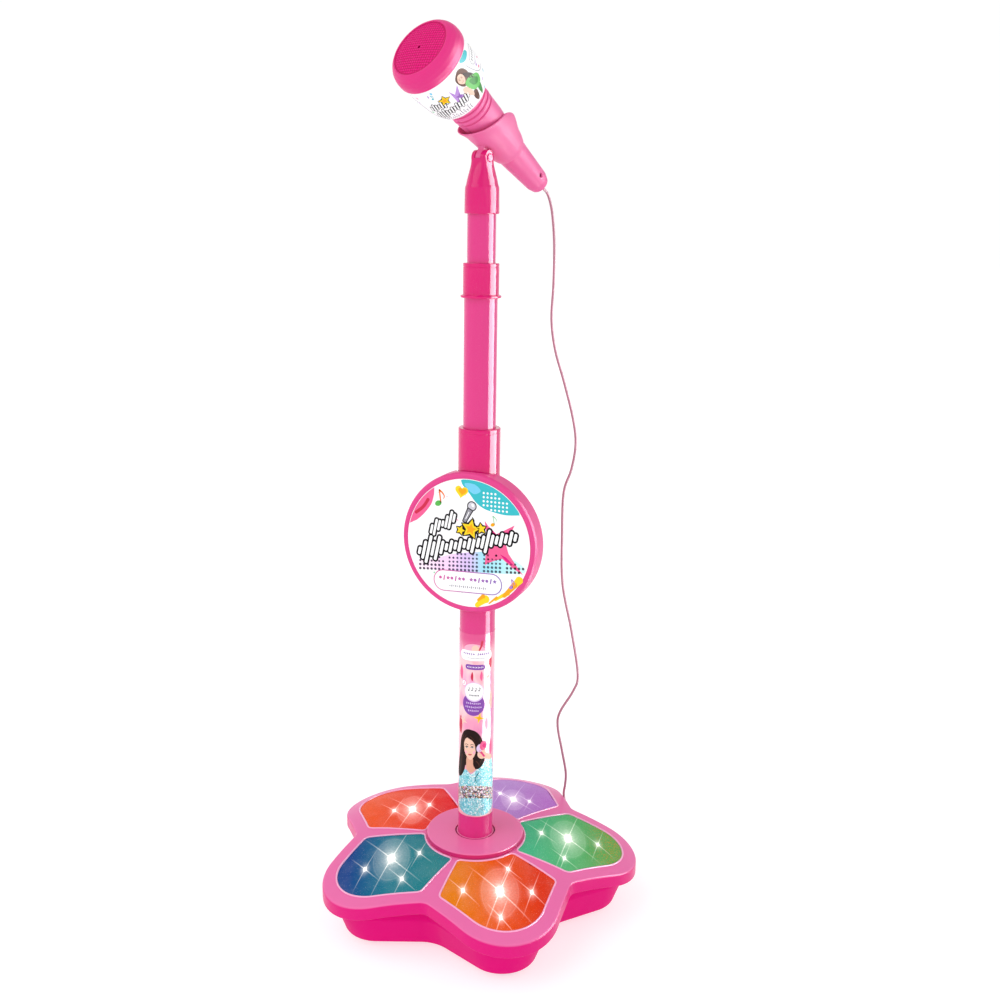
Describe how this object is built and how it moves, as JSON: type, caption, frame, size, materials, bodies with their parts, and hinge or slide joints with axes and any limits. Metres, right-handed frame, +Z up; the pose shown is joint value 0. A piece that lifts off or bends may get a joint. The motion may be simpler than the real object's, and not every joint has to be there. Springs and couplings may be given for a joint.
{
  "type": "toy stand microphone",
  "caption": "Children's toy microphone on a telescopic stand with a star-shaped light-up base, a round sign on the pole, a tilting clip and a thin cord.",
  "frame": {"origin": "on the pole's axis at floor level, the plane of the rubber feet", "axes": "+Z up along the pole, -Y the way the sign faces, +X to the right of someone facing the sign from behind it"},
  "size_m": [0.292, 0.2826, 0.7738],
  "materials": {
    "cover_pink": "gloss",
    "hot_magenta": "gloss",
    "tube_pink": "high gloss",
    "collar_pink": "gloss",
    "mic_pink": "satin gloss",
    "cap_pink": "satin",
    "lens_orange": "frosted, fine grain",
    "lens_green": "frosted, fine grain",
    "lens_purple": "frosted, fine grain",
    "lens_red": "frosted, fine grain",
    "lens_teal": "frosted, fine grain",
    "printed_film": "printed film",
    "white_plastic": "gloss",
    "circuit_board": "solder mask",
    "bulb_clear": "clear resin",
    "speaker_black": "matt",
    "cell_wrap": "printed foil",
    "spring_steel": "nickel plate",
    "screw_steel": "zinc plate",
    "foot_rubber": "matt",
    "cord_jacket": "satin",
    "capsule_metal": "satin"
  },
  "bodies": {
    "base": {"base_tray": "hot_magenta", "base_cover": "cover_pink", "boss_ring": "cover_pink", "pole_socket": "cover_pink", "panel_orange": "lens_orange", "panel_green": "lens_green", "panel_purple": "lens_purple", "panel_red": "lens_red", "panel_teal": "lens_teal", "light_board": "circuit_board", "light_bulbs": "bulb_clear", "sound_board": "circuit_board", "speaker": "speaker_black", "battery_cells": "cell_wrap", "battery_contacts": "spring_steel", "battery_door": "hot_magenta", "battery_door_screw": "screw_steel", "switch_body": "speaker_black", "rubber_feet": "foot_rubber", "base_screws": "screw_steel", "cord_gland_base": "collar_pink", "lower_tube": "tube_pink", "tube_sticker": "printed_film", "lower_collar": "collar_pink", "mic_cord": "cord_jacket"},
    "switch": {"power_switch": "white_plastic"},
    "middle": {"middle_tube": "tube_pink", "middle_bush": "white_plastic", "upper_collar": "collar_pink"},
    "upper": {"upper_tube": "tube_pink", "upper_bush": "white_plastic"},
    "sign": {"sign_front": "cover_pink", "sign_label": "printed_film", "sign_back": "cover_pink", "sign_clamp": "cover_pink", "sign_screws": "screw_steel"},
    "stem": {"clip_stem": "collar_pink", "clip_pin": "screw_steel"},
    "clip": {"mic_clip": "mic_pink"},
    "mic": {"mic_shell_left": "mic_pink", "mic_shell_right": "mic_pink", "mic_screws": "screw_steel", "mic_bowl": "white_plastic", "mic_label": "printed_film", "mic_cap": "cap_pink", "mic_grille": "cap_pink", "mic_capsule": "capsule_metal", "mic_capsule_holder": "white_plastic", "cord_gland_mic": "collar_pink"}
  },
  "joints": [
    {"name": "pole_lower_slide", "type": "slide", "parent": "base", "child": "middle", "axis": [0, 0, 1], "range_m": [-0.105, 0.06], "deforming": ["mic_cord"]},
    {"name": "pole_upper_slide", "type": "slide", "parent": "middle", "child": "upper", "axis": [0, 0, 1], "range_m": [-0.036, 0.08], "deforming": ["mic_cord"]},
    {"name": "stem_swivel", "type": "hinge", "parent": "upper", "child": "stem", "pos_m": [0, 0, 0.638], "axis": [0, 0, 1], "range_deg": [-60, 60], "deforming": ["mic_cord"]},
    {"name": "clip_tilt", "type": "hinge", "parent": "stem", "child": "clip", "pos_m": [0, 0, 0.675], "axis": [0.9455, -0.3256, 0], "range_deg": [-40, 50], "deforming": ["mic_cord"]},
    {"name": "mic_lift_out", "type": "slide", "parent": "clip", "child": "mic", "axis": [-0.273, -0.793, 0.5446], "range_m": [0, 0.11], "deforming": ["mic_cord"]},
    {"name": "sign_turn", "type": "hinge", "parent": "base", "child": "sign", "pos_m": [0, 0, 0.355], "axis": [0, 0, 1], "range_deg": [-90, 90]},
    {"name": "switch_slide", "type": "slide", "parent": "base", "child": "switch", "axis": [1, 0, 0], "range_m": [0, 0.007]}
  ]
}
